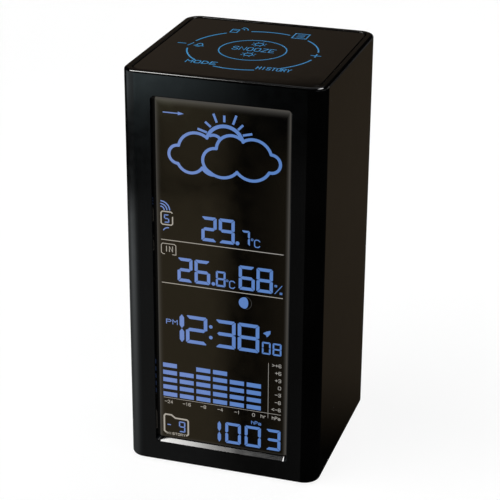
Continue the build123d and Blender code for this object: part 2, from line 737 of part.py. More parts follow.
def control_posts():
    """Posts inside the cover for the control board."""
    return group(rod_y(BOSS_R, CONTROL_BACK, COVER_FRONT + MERGE, x, z) for x, z in CONTROL_SCREWS)


def jack_pocket():
    """Walls that hold the adapter socket behind its hole."""
    width = JACK_W + 2 * JACK_GAP
    height = JACK_H + 2 * JACK_GAP
    outer = panel(width + 3.1, height + 3.1, 0.8, COVER_FRONT - 11.0, COVER_FRONT + MERGE,
                  x=JACK_X, z=JACK_Z)
    return outer - panel(width, height, 0.2, COVER_FRONT - 12.0, COVER_FRONT, x=JACK_X, z=JACK_Z)


def rear_cover():
    """Inset rear cover: battery bay, vents, control openings and socket pocket."""
    cover = panel(COVER_W, COVER_H, COVER_R, COVER_FRONT, COVER_BACK, z=COVER_Z)
    cover = fillet(cover.edges().filter_by(GeomType.LINE).group_by(Axis.Y)[-1], 0.4)
    cover += battery_bay()
    cover += control_posts()
    cover += jack_pocket()
    cover -= bay_cuts()
    cover -= cover_vents()
    cover -= control_holes()
    cover -= rod_y(JACK_HOLE_R, COVER_FRONT - 0.01, COVER_BACK + 1, JACK_X, JACK_Z)
    for x, z in COVER_SCREWS:
        cover -= rod_y(SCREW_R + GAP, COVER_FRONT - 1, COVER_BACK + 1, x, z)
        cover -= rod_y(HEAD_R + GAP, COVER_BACK - HEAD_H, COVER_BACK + 1, x, z)
    for x, z in CONTROL_SCREWS:
        cover -= rod_y(SCREW_R, CONTROL_BACK - 1, CONTROL_BACK + 6.0, x, z)
    return cover


def rear_cover_screws():
    """Four screws through the rear cover into the sleeve."""
    screw = Rot(-90, 0, 0) * cross_screw(7.4)
    return group(Pos(x, COVER_BACK - HEAD_H, z) * screw for x, z in COVER_SCREWS)


def battery_door():
    """Battery door: plate, two hooks at its foot, latch tongue, ribs and finger scoop."""
    door = panel(DOOR_W, DOOR_H, DOOR_R, DOOR_FRONT, COVER_BACK, z=DOOR_Z)
    far = DOOR_FRONT + MERGE
    near = DOOR_FRONT - HOOK_DEEP
    root = DOOR_LOW + HOOK_ROOT
    for x in HOOK_XS:
        wide = (x - HOOK_HALF, x + HOOK_HALF)
        door += span_box(wide, (near, far), (DOOR_LOW + 0.4, root))
        door += span_box(wide, (near, COVER_FRONT - 2 * GAP), (DOOR_LOW - HOOK_DROP, root))
    door += span_box((-4.0, 4.0), (DOOR_FRONT - 1.4, far), (DOOR_HIGH - 1.6, DOOR_HIGH - 0.1))
    for x in (-CELL_PITCH / 2, CELL_PITCH / 2):
        door += span_box((x - 0.6, x + 0.6), (DOOR_FRONT - 1.2, far), (52, 94))
    scoop = Pos(0, COVER_BACK + 7.2, DOOR_HIGH - 7.0) * Rot(0, 90, 0) * Cylinder(8.0, 16.0)
    return door - scoop


# ----------------------------------------------------------------- batteries
def batteries():
    """Three AA cells; the middle one is turned over."""
    body = rod_z(CELL_R, 0, CELL_LENGTH - CELL_NUB)
    body = fillet(body.edges().filter_by(GeomType.CIRCLE), 0.6)
    cell = body + rod_z(CELL_NUB_R, CELL_LENGTH - CELL_NUB - 0.1, CELL_LENGTH)
    cells = []
    for i, x in enumerate(CELL_XS):
        if i % 2:
            cells.append(Pos(x, CELL_Y, CELL_LOW + CELL_LENGTH) * Rot(180, 0, 0) * cell)
        else:
            cells.append(Pos(x, CELL_Y, CELL_HIGH - CELL_LENGTH) * cell)
    return group(cells)


def battery_springs():
    """Three coil springs at the cells' flat ends."""
    wire = 0.35
    room = CELL_HIGH - CELL_LOW - CELL_LENGTH
    coil = coil_spring(1.7, room - 2 * wire - 0.06, 3.6, wire)
    springs = []
    for i, x in enumerate(CELL_XS):
        if i % 2:
            springs.append(Pos(x, CELL_Y, CELL_HIGH - wire - 0.03) * Rot(180, 0, 0) * coil)
        else:
            springs.append(Pos(x, CELL_Y, CELL_LOW + wire + 0.03) * coil)
    return group(springs)


def battery_contacts():
    """Four plated contact strips: two bridges and two end plates with solder tags."""
    left, middle, right = CELL_XS
    deep = (CELL_Y - 5.0, CELL_Y + 5.0)
    low = (BAY_LOW, CELL_LOW)
    high = (CELL_HIGH, BAY_HIGH)
    tag = (TAG_TIP, deep[0] + MERGE)
    low_end = span_box((left - 5, left + 5), deep, low)
    low_end += span_box((left - 1.4, left + 1.4), tag, low)
    high_end = span_box((right - 5, right + 5), deep, high)
    high_end += span_box((right - 1.4, right + 1.4), tag, high)
    low_bridge = span_box((middle - 5, right + 5), deep, low)
    high_bridge = span_box((left - 5, middle + 5), deep, high)
    return group([low_end, low_bridge, high_bridge, high_end])


def supply_lead(start, header, offset):
    """One lead from a solder tag to its plug on the main board."""
    x, z = header
    end = (x + offset, PLUG_TOP, z)
    middle_y = (start[1] + end[1]) / 2
    points = [start, (start[0], middle_y + 6, start[2]), (end[0], middle_y - 6, end[2]), end]
    return swept_wire(points, 0.7, 5.0)


def supply_leads_red():
    """Positive leads of the battery and of the adapter socket."""
    tag = (CELL_XS[-1], TAG_TIP, BAY_HIGH - CONTACT_THICK / 2)
    jack = (JACK_X + 2.0, COVER_FRONT - JACK_DEPTH, JACK_Z + 2.0)
    return group([supply_lead(tag, HEADER_AT[0], 1.3), supply_lead(jack, HEADER_AT[1], 1.3)])


def supply_leads_black():
    """Negative leads of the battery and of the adapter socket."""
    tag = (CELL_XS[0], TAG_TIP, BAY_LOW + CONTACT_THICK / 2)
    jack = (JACK_X - 2.0, COVER_FRONT - JACK_DEPTH, JACK_Z - 2.0)
    return group([supply_lead(tag, HEADER_AT[0], -1.3), supply_lead(jack, HEADER_AT[1], -1.3)])


# ------------------------------------------------------------------ controls
def control_board():
    """Small board behind the buttons on the rear cover."""
    z = (CONTROL_LOW + CONTROL_HIGH) / 2
    board = panel(CONTROL_W, CONTROL_HIGH - CONTROL_LOW, 1.5, CONTROL_FRONT, CONTROL_BACK, z=z)
    for x, z in CONTROL_SCREWS:
        board -= rod_y(SCREW_R + GAP, CONTROL_FRONT - 1, CONTROL_BACK + 1, x, z)
    return board


def control_board_screws():
    """Four screws that hold the control board to the cover's posts."""
    screw = Rot(90, 0, 0) * cross_screw(6.6)
    return group(Pos(x, CONTROL_FRONT, z) * screw for x, z in CONTROL_SCREWS)


def humidity_sensor():
    """Temperature and humidity sensor behind the vents."""
    body = span_box((-2.5, 2.5), (CONTROL_BACK, CONTROL_BACK + 2.0),
                    (HUMIDITY_Z - 2.5, HUMIDITY_Z + 2.5))
    return body - rod_y(1.0, CONTROL_BACK + 1.2, CONTROL_BACK + 3.0, 0.0, HUMIDITY_Z)


def tact_switch_bodies():
    """Two key-switch bodies with the wells their plungers move in."""
    well = CONTROL_BACK + PLUNGER_LOW - BUTTON_TRAVEL - BUTTON_GAP
    bodies = []
    for x in (SEARCH_X, RESET_X):
        body = span_box((x - KEY_HALF, x + KEY_HALF), (CONTROL_BACK, CONTROL_BACK + KEY_H),
                        (BUTTON_Z - KEY_HALF, BUTTON_Z + KEY_HALF))
        bodies.append(body - rod_y(PLUNGER_R + GAP, well, CONTROL_BACK + KEY_H + 1, x, BUTTON_Z))
    return group(bodies)


def switch_plunger(x):
    """Plunger between a key switch and its button."""
    return rod_y(PLUNGER_R, CONTROL_BACK + PLUNGER_LOW, CONTROL_BACK + PLUNGER_HIGH, x, BUTTON_Z)


def push_button(x, cap_r, face):
    """Button cap, the flange that keeps it behind the cover, and its stem."""
    low = CONTROL_BACK + FLANGE_LOW
    high = CONTROL_BACK + FLANGE_HIGH
    stem = rod_y(STEM_R, CONTROL_BACK + PLUNGER_HIGH, low, x, BUTTON_Z)
    flange = rod_y(cap_r + BUTTON_FLANGE, low - MERGE, high, x, BUTTON_Z)
    cap = rod_y(cap_r, high - MERGE, face, x, BUTTON_Z)
    cap = fillet(cap.edges().group_by(Axis.Y)[-1], 0.4)
    return stem + flange + cap


def slide_switch_body():
    """Slide-switch body with the slot its lever moves in."""
    body = span_box((SWITCH_X - 6, SWITCH_X + 6), (CONTROL_BACK, CONTROL_BACK + 4.2),
                    (BUTTON_Z - 3, BUTTON_Z + 3))
    half = 1.0 + SWITCH_TRAVEL / 2 + BUTTON_GAP
    slot = span_box((SWITCH_X - half, SWITCH_X + half), (CONTROL_BACK + 2.0, CONTROL_BACK + 5),
                    (BUTTON_Z - 1.0 - BUTTON_GAP, BUTTON_Z + 1.0 + BUTTON_GAP))
    return body - slot


def unit_switch_knob():
    """Knob that picks the temperature unit, at the left end of its travel."""
    x = SWITCH_X - SWITCH_TRAVEL / 2
    z = BUTTON_Z
    low = CONTROL_BACK + FLANGE_LOW
    high = CONTROL_BACK + FLANGE_HIGH
    half = SLIDE_CAP[0] / 2
    rise = SLIDE_CAP[1] / 2
    knob = span_box((x - 1.0, x + 1.0), (CONTROL_BACK + 2.4, low + MERGE), (z - 1.0, z + 1.0))
    knob += span_box((x - 5.2, x + 5.2), (low, high), (z - 3.2, z + 3.2))
    cap = span_box((x - half, x + half), (high - MERGE, COVER_BACK + 0.3), (z - rise, z + rise))
    knob += fillet(cap.edges().group_by(Axis.Y)[-1], 0.3)
    for i in range(-2, 3):
        knob -= span_box((x + i - 0.2, x + i + 0.2), (COVER_BACK, COVER_BACK + 1), (z - 2.5, z + 2.5))
    return knob


def dc_jack():
    """Adapter socket: body, bore and centre pin."""
    bottom = COVER_FRONT - JACK_BORE_DEPTH
    body = span_box((JACK_X - JACK_W / 2, JACK_X + JACK_W / 2), (COVER_FRONT - JACK_DEPTH, COVER_FRONT),
                    (JACK_Z - JACK_H / 2, JACK_Z + JACK_H / 2))
    body -= rod_y(JACK_BORE_R, bottom, COVER_FRONT + 1, JACK_X, JACK_Z)
    return body + rod_y(JACK_PIN_R, bottom - 0.5, COVER_FRONT - 1.0, JACK_X, JACK_Z)


NODES = {
    "housing": housing,
    "base_plate": base_plate,
    "base_plate_screws": base_plate_screws,
    "rubber_feet": rubber_feet,
    "touch_plate": touch_plate,
    "touch_plate_tape": touch_plate_tape,
    "touch_sensor_film": touch_sensor_film,
    "touch_diffuser": touch_diffuser,
    "touch_light_frame": touch_light_frame,
    "touch_board": touch_board,
    "touch_leds": touch_leds,
    "touch_controller": touch_controller,
    "touch_board_screws": touch_board_screws,
    "display_lens": display_lens,
    "display_lens_tape": display_lens_tape,
    "lcd_front_glass": lcd_front_glass,
    "lcd_rear_glass": lcd_rear_glass,
    "lcd_polarisers": lcd_polarisers,
    "lcd_frame": lcd_frame,
    "backlight_diffuser": backlight_diffuser,
    "backlight_guide": backlight_guide,
    "backlight_reflector": backlight_reflector,
    "backlight_led_boards": backlight_led_boards,
    "backlight_leds": backlight_leds,
    "zebra_strip": zebra_strip,
    "main_board": main_board,
    "main_board_screws": main_board_screws,
    "main_controller": main_controller,
    "display_driver": display_driver,
    "board_components": board_components,
    "pressure_sensor": pressure_sensor,
    "buzzer": buzzer,
    "radio_board": radio_board,
    "radio_shield": radio_shield,
    "radio_antenna": radio_antenna,
    "lead_headers": lead_headers,
    "lead_plugs": lead_plugs,
    "ribbon_connectors": ribbon_connectors,
    "touch_ribbon": touch_ribbon,
    "control_ribbon": control_ribbon,
    "rear_cover": rear_cover,
    "rear_cover_screws": rear_cover_screws,
    "control_board": control_board,
    "control_board_screws": control_board_screws,
    "humidity_sensor": humidity_sensor,
    "tact_switch_bodies": tact_switch_bodies,
    "search_switch_plunger": lambda: switch_plunger(SEARCH_X),
    "reset_switch_plunger": lambda: switch_plunger(RESET_X),
    "slide_switch_body": slide_switch_body,
    "unit_switch_knob": unit_switch_knob,
    "search_button": lambda: push_button(SEARCH_X, SEARCH_R, COVER_BACK + 0.3),
    "reset_button": lambda: push_button(RESET_X, RESET_R, COVER_BACK - 0.8),
    "dc_jack": dc_jack,
    "battery_door": battery_door,
    "batteries": batteries,
    "battery_springs": battery_springs,
    "battery_contacts": battery_contacts,
    "supply_leads_red": supply_leads_red,
    "supply_leads_black": supply_leads_black,
}

os.makedirs("parts", exist_ok=True)
for name, make in NODES.items():
    export_step(make(), f"parts/{name}.step")
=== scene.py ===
import json
import math
import bpy
from mathutils import Matrix, Vector


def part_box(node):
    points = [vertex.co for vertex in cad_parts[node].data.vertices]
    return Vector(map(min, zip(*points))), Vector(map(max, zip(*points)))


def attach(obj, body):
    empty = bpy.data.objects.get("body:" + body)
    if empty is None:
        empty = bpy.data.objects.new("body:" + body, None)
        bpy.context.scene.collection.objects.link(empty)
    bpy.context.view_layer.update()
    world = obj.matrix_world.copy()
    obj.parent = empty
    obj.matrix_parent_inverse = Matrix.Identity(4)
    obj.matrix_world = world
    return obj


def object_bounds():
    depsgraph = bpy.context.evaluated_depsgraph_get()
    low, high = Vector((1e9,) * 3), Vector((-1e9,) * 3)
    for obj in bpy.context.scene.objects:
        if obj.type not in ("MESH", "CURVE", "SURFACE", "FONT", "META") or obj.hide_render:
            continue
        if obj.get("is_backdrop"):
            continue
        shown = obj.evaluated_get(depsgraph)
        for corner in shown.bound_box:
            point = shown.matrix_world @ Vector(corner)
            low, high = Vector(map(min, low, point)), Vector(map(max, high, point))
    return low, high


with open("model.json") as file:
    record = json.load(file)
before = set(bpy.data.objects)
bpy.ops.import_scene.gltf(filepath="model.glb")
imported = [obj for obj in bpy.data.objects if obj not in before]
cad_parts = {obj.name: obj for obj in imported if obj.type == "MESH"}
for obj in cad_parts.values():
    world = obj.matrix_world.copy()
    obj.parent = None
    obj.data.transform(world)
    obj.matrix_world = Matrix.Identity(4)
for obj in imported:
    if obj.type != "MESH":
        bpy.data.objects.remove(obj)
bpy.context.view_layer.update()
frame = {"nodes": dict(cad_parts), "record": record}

MM = 0.001


# ---------------------------------------------------------------- shader trees

def srgb(r, g, b):
    """A display colour, 0 to 255, as linear light."""
    def linear(c):
        c /= 255.0
        return c / 12.92 if c <= 0.04045 else ((c + 0.055) / 1.055) ** 2.4
    return (linear(r), linear(g), linear(b), 1.0)


def new_material(name):
    mat = bpy.data.materials.new(name)
    mat.use_nodes = True
    mat.node_tree.nodes.clear()
    return mat, mat.node_tree


def node(tree, kind, sockets=None, **settings):
    made = tree.nodes.new("ShaderNode" + kind)
    for key, value in settings.items():
        setattr(made, key, value)
    for key, value in (sockets or {}).items():
        if isinstance(value, bpy.types.NodeSocket):
            tree.links.new(value, made.inputs[key])
        else:
            made.inputs[key].default_value = value
    return made


def ranged(tree, value, low, high, to_low, to_high, soft=True):
    """Maps value from low..high to to_low..to_high."""
    made = node(tree, "MapRange", {"Value": value, "From Min": low, "From Max": high,
                                   "To Min": to_low, "To Max": to_high})
    made.interpolation_type = "SMOOTHSTEP" if soft else "LINEAR"
    return made.outputs["Result"]


def noise(tree, coords, scale, detail=2.0, rough=0.5):
    return node(tree, "TexNoise", {"Vector": coords, "Scale": scale, "Detail": detail,
                                   "Roughness": rough}).outputs["Fac"]


def blend_colour(tree, factor, a, b):
    """Colour a where the factor is 0 and b where it is 1."""
    made = node(tree, "Mix", {"Factor": factor}, data_type="RGBA")
    colours = [s for s in made.inputs if s.type == "RGBA"]
    for socket, colour in zip(colours, (a, b)):
        if isinstance(colour, bpy.types.NodeSocket):
            tree.links.new(colour, socket)
        else:
            socket.default_value = colour
    return [s for s in made.outputs if s.type == "RGBA"][0]


def surface(name, dark, light, rough, patch, grain=None, scratch=None, ior=1.5,
            metallic=0.0, tint=None, transmission=0.0):
    """A moulded, rolled or coated surface. Colour drifts between dark and light over patches
    (so many per metre), and roughness between its two values over finer ones; grain and
    scratch = (scale, depth) are relief, per metre and in metres."""
    mat, tree = new_material(name)
    out = node(tree, "OutputMaterial")
    shader = node(tree, "BsdfPrincipled")
    tree.links.new(shader.outputs[0], out.inputs[0])
    coords = node(tree, "TexCoord").outputs["Object"]
    drift = noise(tree, coords, patch, 3.0)
    fine = noise(tree, coords, patch * 9.0, 4.0)
    colour = blend_colour(tree, ranged(tree, drift, 0.35, 0.65, 0.0, 1.0), dark, light)
    tree.links.new(colour, shader.inputs["Base Color"])
    tree.links.new(ranged(tree, fine, 0.3, 0.7, rough[0], rough[1]), shader.inputs["Roughness"])
    shader.inputs["IOR"].default_value = ior
    shader.inputs["Metallic"].default_value = metallic
    shader.inputs["Transmission Weight"].default_value = transmission
    if tint:
        shader.inputs["Specular Tint"].default_value = tint
    normal = None
    for relief in (grain, scratch):
        if relief:
            height = noise(tree, coords, relief[0], 2.0, 0.6)
            bump = node(tree, "Bump", {"Height": height, "Strength": 1.0,
                                       "Distance": relief[1]})
            if normal:
                tree.links.new(normal, bump.inputs["Normal"])
            normal = bump.outputs[0]
    if normal:
        tree.links.new(normal, shader.inputs["Normal"])
    return mat


def grey(value):
    return (value, value, value, 1.0)


BLACK = (0.0004, 0.0004, 0.0004, 1.0)
BLACK_WORN = (0.0008, 0.0008, 0.0008, 1.0)

SURFACES = {
    "gloss_black": surface("gloss_black", BLACK, BLACK_WORN, (0.09, 0.12), 25.0,
                           (90.0, 1.5e-6)),
    "tinted_acrylic": surface("tinted_acrylic", BLACK, BLACK_WORN, (0.03, 0.05), 25.0,
                              (60.0, 0.4e-6), ior=2.4),
    "lens_acrylic": surface("lens_acrylic", grey(0.0008), grey(0.0012), (0.05, 0.08), 20.0,
                            ior=2.0, tint=(1.0, 0.78, 0.46, 1.0)),
    "matte_black": surface("matte_black", grey(0.010), grey(0.017), (0.42, 0.55), 40.0,
                           (2600.0, 1.4e-5), (700.0, 6.0e-6)),
    "white_abs": surface("white_abs", grey(0.70), grey(0.80), (0.35, 0.45), 40.0,
                         (1500.0, 4e-6)),
    "opal_acrylic": surface("opal_acrylic", grey(0.76), grey(0.86), (0.3, 0.4), 40.0,
                            (900.0, 2e-6)),
    "clear_acrylic": surface("clear_acrylic", (0.86, 0.92, 0.94, 1), (0.92, 0.96, 0.97, 1),
                             (0.03, 0.07), 40.0, (200.0, 1e-6), transmission=0.9),
    "lcd_glass": surface("lcd_glass", (0.50, 0.58, 0.62, 1), (0.56, 0.64, 0.68, 1),
                         (0.03, 0.06), 40.0, (100.0, 1e-6), transmission=0.6),
    "polariser": surface("polariser", grey(0.04), grey(0.06), (0.15, 0.22), 40.0,
                         (300.0, 1e-6)),
    "foam_tape": surface("foam_tape", grey(0.018), grey(0.035), (0.85, 0.95), 80.0,
                         (3500.0, 4e-5)),
    "pcb_green": surface("pcb_green", (0.012, 0.085, 0.035, 1), (0.020, 0.13, 0.055, 1),
                         (0.2, 0.35), 200.0, (900.0, 8e-6)),
    "chip_black": surface("chip_black", grey(0.012), grey(0.022), (0.38, 0.5), 120.0,
                          (3500.0, 8e-6)),
    "ceramic": surface("ceramic", (0.30, 0.22, 0.15, 1), (0.42, 0.34, 0.25, 1), (0.4, 0.6),
                       400.0, (3000.0, 6e-6)),
    "steel": surface("steel", (0.42, 0.42, 0.43, 1), (0.62, 0.62, 0.62, 1), (0.22, 0.38),
                     300.0, (1800.0, 4e-6), metallic=1.0),
    "tin_shield": surface("tin_shield", grey(0.52), grey(0.66), (0.25, 0.4), 150.0,
                          (1200.0, 4e-6), metallic=1.0),
    "copper": surface("copper", (0.55, 0.24, 0.10, 1), (0.72, 0.36, 0.18, 1), (0.2, 0.35),
                      300.0, (2000.0, 3e-6), metallic=1.0),
    "rubber_black": surface("rubber_black", grey(0.016), grey(0.030), (0.7, 0.85), 120.0,
                            (2200.0, 2.5e-5)),
    "zebra_rubber": surface("zebra_rubber", (0.30, 0.34, 0.38, 1), (0.42, 0.46, 0.50, 1),
                            (0.6, 0.75), 100.0, (1500.0, 8e-6)),
    "connector_white": surface("connector_white", (0.66, 0.64, 0.58, 1),
                               (0.76, 0.74, 0.69, 1), (0.35, 0.5), 150.0, (1500.0, 5e-6)),
    "ribbon_grey": surface("ribbon_grey", grey(0.55), grey(0.66), (0.35, 0.5), 100.0,
                           (900.0, 6e-6)),
    "lead_red": surface("lead_red", (0.30, 0.012, 0.010, 1), (0.42, 0.022, 0.018, 1),
                        (0.4, 0.55), 200.0, (1500.0, 6e-6)),
    "lead_black": surface("lead_black", grey(0.010), grey(0.020), (0.4, 0.55), 200.0,
                          (1500.0, 6e-6)),
    "cell_jacket": surface("cell_jacket", (0.03, 0.035, 0.05, 1), (0.045, 0.05, 0.07, 1),
                           (0.18, 0.28), 60.0, (400.0, 4e-6)),
    "led_lens": surface("led_lens", (0.70, 0.78, 0.86, 1), (0.80, 0.86, 0.92, 1),
                        (0.1, 0.2), 150.0, (500.0, 3e-6)),
    "button_grey": surface("button_grey", grey(0.045), grey(0.065), (0.35, 0.45), 120.0,
                           (2600.0, 9e-6)),
}


def painted_edge_highlight(mat, colour, sides):
    """Paints a highlight on an upright panel as emission at its edges, fading inwards. A side is
    (axis, place of the edge, inward way, width, power of the fade, strength), in metres."""
    tree = mat.node_tree
    shader = [made for made in tree.nodes if made.type == "BSDF_PRINCIPLED"][0]
    place = node(tree, "SeparateXYZ", {"Vector": node(tree, "TexCoord").outputs["Object"]})
    total = None
    for axis, edge, way, wide, fade, strength in sides:
        near = ranged(tree, place.outputs[axis], edge + way * wide, edge, 0.0, 1.0, soft=False)
        near = node(tree, "Math", {0: near, 1: fade}, operation="POWER").outputs[0]
        near = node(tree, "Math", {0: near, 1: strength}, operation="MULTIPLY").outputs[0]
        total = near if total is None else node(
            tree, "Math", {0: total, 1: near}, operation="MAXIMUM").outputs[0]
    shader.inputs["Emission Color"].default_value = (*colour, 1.0)
    tree.links.new(total, shader.inputs["Emission Strength"])


# edges of the lens's raised panel
PANEL_SIDE = 0.0282
PANEL_TOP = 0.1661
PANEL_LOW = 0.0116
# painted highlight: the lens panel's edges glow as emission, stronger at the top and sides, in
# place of light caught by its rounded border
painted_edge_highlight(SURFACES["lens_acrylic"], (1.0, 0.95, 0.87), (
    ("X", -PANEL_SIDE, 1, 0.0030, 3.0, 0.055), ("X", PANEL_SIDE, -1, 0.0017, 2.4, 0.055),
    ("Z", PANEL_TOP, -1, 0.0034, 2.0, 0.060), ("Z", PANEL_LOW, 1, 0.0014, 1.5, 0.022)))

for part in frame["record"]["subparts"]:
    shown = frame["nodes"][part["node"]]
    shown.data.materials.clear()
    shown.data.materials.append(SURFACES[part["material_slot"]])


INK_LEFT, INK_RIGHT = -0.028, 0.020     # X between which the colour of lit print drifts
UNEVEN = 0.22                           # most that its dimmed colour is blended in
DIMMER = 0.72                           # light left in the dimmed colour


def lit_ink(name, left, right):
    """Light-emitting print: its colour drifts from left to right, with fine unevenness."""
    mat, tree = new_material(name)
    out = node(tree, "OutputMaterial")
    shader = node(tree, "BsdfPrincipled", {"Roughness": 0.3, "Emission Strength": 1.0})
    tree.links.new(shader.outputs[0], out.inputs[0])
    coords = node(tree, "TexCoord").outputs["Object"]
    across = node(tree, "SeparateXYZ", {"Vector": coords}).outputs["X"]
    side = ranged(tree, across, INK_LEFT, INK_RIGHT, 0.0, 1.0)
    colour = blend_colour(tree, side, left, right)
    uneven = ranged(tree, noise(tree, coords, 220.0, 3.0), 0.3, 0.7, 0.0, UNEVEN)
    dimmed = tuple(DIMMER * c for c in right[:3]) + (1.0,)
    colour = blend_colour(tree, uneven, colour, dimmed)
    tree.links.new(colour, shader.inputs["Emission Color"])
    body = blend_colour(tree, uneven, grey(0.004), grey(0.01))
    tree.links.new(body, shader.inputs["Base Color"])
    return mat


BLUE_INK = lit_ink("segment_blue", srgb(114, 138, 198), srgb(86, 126, 190))
PALE_INK = lit_ink("legend_pale", srgb(172, 165, 154), srgb(160, 157, 152))
FAINT_INK = lit_ink("legend_faint", srgb(60, 58, 55), srgb(56, 56, 56))
RING_INK = lit_ink("ring_blue", srgb(54, 136, 188), srgb(58, 128, 180))
PRINT_INK = surface("printed_grey", grey(0.30), grey(0.38), (0.5, 0.6), 300.0, (2500.0, 4e-6))


# ---------------------------------------------------------------- flat marks

RAISE = 0.04        # marks stand out by this, and reach into the face by SUNK, in mm
SUNK = 0.02
LETTER_GAP = 1.7    # between letters, which are 4 wide and 6 tall
SEGMENT_GAP = 0.16  # between the segments of a figure, in mm


class Marks:
    """Thin raised marks on one flat face, collected into one mesh. Lengths are in mm."""

    def __init__(self, place):
        self.place = place          # (u, v, height) in mm -> point in metres
        self.vertices = []
        self.faces = []

    def _put(self, u, v, h):
        self.vertices.append(self.place(u, v, h))
        return len(self.vertices) - 1

    def polygon(self, outline):
        top = [self._put(u, v, RAISE) for u, v in outline]
        low = [self._put(u, v, -SUNK) for u, v in outline]
        self.faces.append(top)
        self.faces.append(low[::-1])
        count = len(outline)
        for i in range(count):
            j = (i + 1) % count
            self.faces.append([top[j], top[i], low[i], low[j]])

    def ribbon(self, pairs, closed=False):
        """A band through (left, right) pairs of points."""
        rows = [[self._put(*left, RAISE), self._put(*right, RAISE),
                 self._put(*left, -SUNK), self._put(*right, -SUNK)] for left, right in pairs]
        count = len(rows)
        for i in range(count if closed else count - 1):
            a, b = rows[i], rows[(i + 1) % count]
            self.faces += [[a[0], a[1], b[1], b[0]], [a[2], b[2], b[3], a[3]],
                           [a[0], b[0], b[2], a[2]], [a[1], a[3], b[3], b[1]]]
        if not closed:
            a, b = rows[0], rows[-1]
            self.faces += [[a[0], a[2], a[3], a[1]], [b[0], b[1], b[3], b[2]]]

    def line(self, points, width, closed=False, round_ends=True):
        """A line of one width through points, mitred at its corners."""
        points = [Vector(p) for p in points]
        half = width / 2
        count = len(points)
        pairs = []
        for i, point in enumerate(points):
            before = points[i - 1] if (i or closed) else None
            after = points[(i + 1) % count] if (i < count - 1 or closed) else None
            way_in = (point - before).normalized() if before is not None else None
            way_out = (after - point).normalized() if after is not None else None
            way_in = way_out if way_in is None else way_in
            way_out = way_in if way_out is None else way_out
            mean = way_in + way_out
            mean = mean.normalized() if mean.length > 1e-6 else way_in
            side = Vector((-mean.y, mean.x))
            reach = half / max(0.5, mean.dot(way_in))
            pairs.append((point + side * reach, point - side * reach))
        if round_ends and not closed:
            start, end = [], []
            for step in (0.98, 0.8, 0.45):      # rows of a round end, from its tip
                narrow = half * math.sqrt(1 - step * step)
                for tip, away, rows in ((points[0], points[0] - points[1], start),
                                        (points[-1], points[-1] - points[-2], end)):
                    along = away.normalized()
                    side = Vector((-along.y, along.x))
                    if rows is start:
                        side = -side
                    at = tip + along * half * step
                    rows.append((at + side * narrow, at - side * narrow))
            pairs = start + pairs + end[::-1]
        self.ribbon(pairs, closed)

    def arc(self, centre, radius, start, end, width, steps=None):
        """An arc from start to end degrees, anticlockwise, or a whole circle."""
        whole = abs(end - start) >= 359.9
        steps = steps or max(6, int(abs(end - start) / 5))
        turns = [math.radians(start + (end - start) * i / steps)
                 for i in range(steps if whole else steps + 1)]
        points = [(centre[0] + radius * math.cos(t), centre[1] + radius * math.sin(t))
                  for t in turns]
        self.line(points, width, closed=whole)

    def through(self, a, b, c, width):
        """A circular arc from a through b to c."""
        self.line(arc_through(a, b, c), width)

    def disc(self, centre, radius):
        self.polygon([(centre[0] + radius * math.cos(math.pi * i / 12),
                       centre[1] + radius * math.sin(math.pi * i / 12)) for i in range(24)])

    def text(self, words, left, low, right, high, width):
        """Words in the plain line type, filling the box."""
        step = 4.0 + LETTER_GAP
        total = step * len(words) - LETTER_GAP
        scale_u = (right - left - width) / total
        scale_v = (high - low - width) / 6.0
        for i, letter in enumerate(words):
            for stroke in GLYPHS[letter].split("/") if GLYPHS[letter] else []:
                points = [(left + width / 2 + (i * step + int(p[0])) * scale_u,
                           low + width / 2 + int(p[1]) * scale_v) for p in stroke.split()]
                closed = points[0] == points[-1] and len(points) > 2
                self.line(points[:-1] if closed else points, width, closed)

    def digit(self, figure, left, low, width, height, stroke):
        """A seven-segment figure, mitred where segments meet."""
        for name in SEGMENTS[figure]:
            self.polygon([(left + u, low + v)
                          for u, v in segment(name, width, height, stroke, SEGMENT_GAP)])

    def build(self, name, material, body):
        mesh = bpy.data.meshes.new(name)
        mesh.from_pydata([tuple(v) for v in self.vertices], [], self.faces)
        mesh.update()
        made = bpy.data.objects.new(name, mesh)
        bpy.context.scene.collection.objects.link(made)
        mesh.materials.append(material)
        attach(made, body)


# strokes of each letter, split by "/", through points of one digit for X and one for Y
GLYPHS = {
    " ": "", "0": "16 36 45 41 30 10 01 05 16", "1": "15 26 20",
    "2": "05 16 36 45 44 00 40", "3": "05 16 36 45 44 33 42 41 30 10 01/33 13",
    "4": "30 36 02 42", "6": "45 36 16 05 01 10 30 41 42 33 03",
    "8": "13 33 44 45 36 16 05 04 13/13 02 01 10 30 41 42 33", "-": "03 43", "+": "03 43/25 21",
    "<": "45 03 41", ">": "05 43 01", "%": "00 46/06 16 15 05 06/30 40 41 31 30",
    "A": "00 26 40/12 32", "C": "45 36 16 05 01 10 30 41", "D": "00 06 26 44 42 20 00",
    "E": "46 06 00 40/03 33", "F": "46 06 00/03 33", "H": "00 06/40 46/03 43",
    "I": "20 26", "M": "00 06 23 46 40", "N": "00 06 40 46",
    "O": "16 36 45 41 30 10 01 05 16", "P": "00 06 36 45 44 33 03",
    "R": "00 06 36 45 44 33 03/23 40", "S": "45 36 16 05 04 13 33 42 41 30 10 01",
    "T": "06 46/26 20", "Y": "06 23 46/23 20", "Z": "06 46 00 40",
    "a": "04 34 43 40 10 01 02 32", "h": "00 06/04 34 43 40", "r": "00 04/03 14 34",
    "*": "16 25 14 05 16",
}
SEGMENTS = {"0": "abcdef", "1": "bc", "2": "abged", "3": "abgcd", "4": "fgbc", "5": "afgcd",
            "6": "afgedc", "7": "abc", "8": "abcdefg", "9": "abcdfg"}


